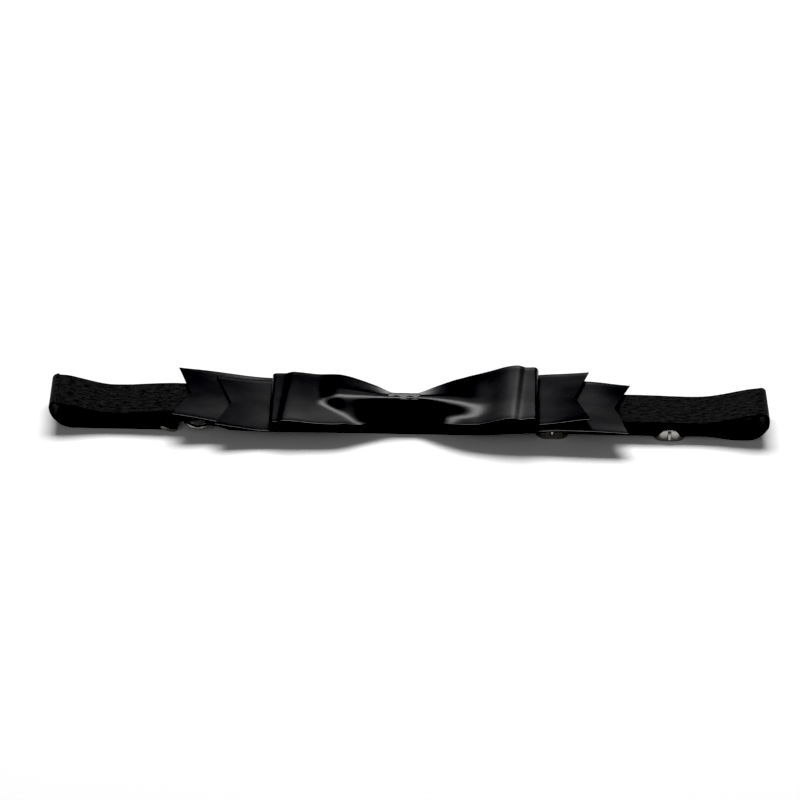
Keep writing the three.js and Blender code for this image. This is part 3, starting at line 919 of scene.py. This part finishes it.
def make_hook():
    """The hook: the CAD solid's shape with its edges rounded."""
    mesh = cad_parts["closure_hook"].data.copy()
    mesh.materials.clear()
    bm = bmesh.new()
    bm.from_mesh(mesh)
    bmesh.ops.remove_doubles(bm, verts=bm.verts, dist=0.002 * MM)
    bmesh.ops.dissolve_limit(bm, angle_limit=math.radians(1.5), verts=bm.verts, edges=bm.edges)
    bm.to_mesh(mesh)
    bm.free()
    hook = finish_mesh("hook_metal", mesh, [NICKEL], sharp_deg=35)
    bevel = hook.modifiers.new("edges", "BEVEL")
    bevel.width = BEVEL_WIDTH
    bevel.segments = 3
    bevel.limit_method = "ANGLE"
    bevel.angle_limit = BEVEL_ANGLE
    place(hook, "hook", "nickel", "closure_hook")


make_band()
make_hook_strap()
make_tail("long_tail", "long_tail_ribbon", long_tail, turn_deg=-1.4, curl=long_curl, seed=3.0)
make_tail("short_tail", "short_tail_ribbon", short_tail, turn_deg=1.4, curl=short_curl, seed=5.0)
make_bow()
make_knot()
make_waist_thread()
zigzag("hook_end_stitches", "hook_end_bartack", "hook_end", stitches=16, along_y=True)
zigzag("free_end_stitches", "free_end_bartack", "tie", stitches=16, along_y=True)
zigzag("knot_seam_stitches", "knot_seam_bartack", "tie", stitches=10, along_y=False)
make_slide("inner_slide", "slide_inner")
make_slide("outer_slide", "slide_outer")
make_eye()
make_hook()

# ---- Stage, lights and camera ----

FLOOR_HALF_SIDE = 1.5
LIGHT_DISTANCE = 1.2
CAMERA_TARGET = Vector((-2.7, 8.7, 0)) * MM
CAMERA_DISTANCE = 1.2
CAMERA_AZIMUTH_DEG = 1.7
CAMERA_ELEVATION_DEG = 39.5
scene = bpy.context.scene


def make_floor():
    mesh = bpy.data.meshes.new("floor")
    r = FLOOR_HALF_SIDE
    mesh.from_pydata([(-r, -r, 0), (r, -r, 0), (r, r, 0), (-r, r, 0)], [], [(0, 1, 2, 3)])
    material, _, _ = new_material(
        "floor", Base_Color=(0.86, 0.86, 0.86, 1), Roughness=0.9, Specular_IOR_Level=0.1,
    )
    mesh.materials.append(material)
    floor = bpy.data.objects.new("floor", mesh)
    scene.collection.objects.link(floor)


def add_area(name, azimuth_deg, elevation_deg, size, radiance):
    """A rectangular softbox that faces the tie. Azimuth 0 is behind it, and 90 to its right."""
    data = bpy.data.lights.new(name, "AREA")
    data.shape = "RECTANGLE"
    data.size, data.size_y = size
    data.energy = radiance * size[0] * size[1] * math.pi
    light = bpy.data.objects.new(name, data)
    a, e = math.radians(azimuth_deg), math.radians(elevation_deg)
    towards = Vector((math.sin(a) * math.cos(e), math.cos(a) * math.cos(e), math.sin(e)))
    light.location = towards * LIGHT_DISTANCE
    light.rotation_mode = "QUATERNION"
    light.rotation_quaternion = (-light.location).to_track_quat("-Z", "Y")
    scene.collection.objects.link(light)


def make_world(level):
    world = bpy.data.worlds.new("studio")
    world.use_nodes = True
    world.node_tree.nodes["Background"].inputs["Color"].default_value = (level, level, level, 1)
    scene.world = world


def make_camera():
    data = bpy.data.cameras.new("camera")
    data.sensor_width = 36
    data.lens = 189
    camera = bpy.data.objects.new("camera", data)
    azimuth, elevation = math.radians(CAMERA_AZIMUTH_DEG), math.radians(CAMERA_ELEVATION_DEG)
    back = Vector((
        math.sin(azimuth) * math.cos(elevation), -math.cos(azimuth) * math.cos(elevation),
        math.sin(elevation),
    ))
    camera.location = CAMERA_TARGET + back * CAMERA_DISTANCE
    camera.rotation_mode = "QUATERNION"
    camera.rotation_quaternion = (-back).to_track_quat("-Z", "Y")
    scene.collection.objects.link(camera)
    scene.camera = camera


make_floor()
make_world(level=0.07)
# The overhead box lights the slopes that face the camera. The fills only soften the shadows.
add_area("overhead", 0, 61, size=(1.0, 0.46), radiance=13.5)
add_area("left_fill", -135, 28, size=(0.9, 0.7), radiance=0.65)
add_area("right_fill", 135, 28, size=(0.9, 0.7), radiance=0.65)
make_camera()

view = scene.view_settings
view.view_transform = "Standard"
view.look = "None"
view.exposure = 0.0
view.gamma = 1.0
view.use_curve_mapping = True
view.curve_mapping.black_level = (0.02, 0.02, 0.02)
view.curve_mapping.white_level = (0.9, 0.9, 0.9)
view.curve_mapping.update()
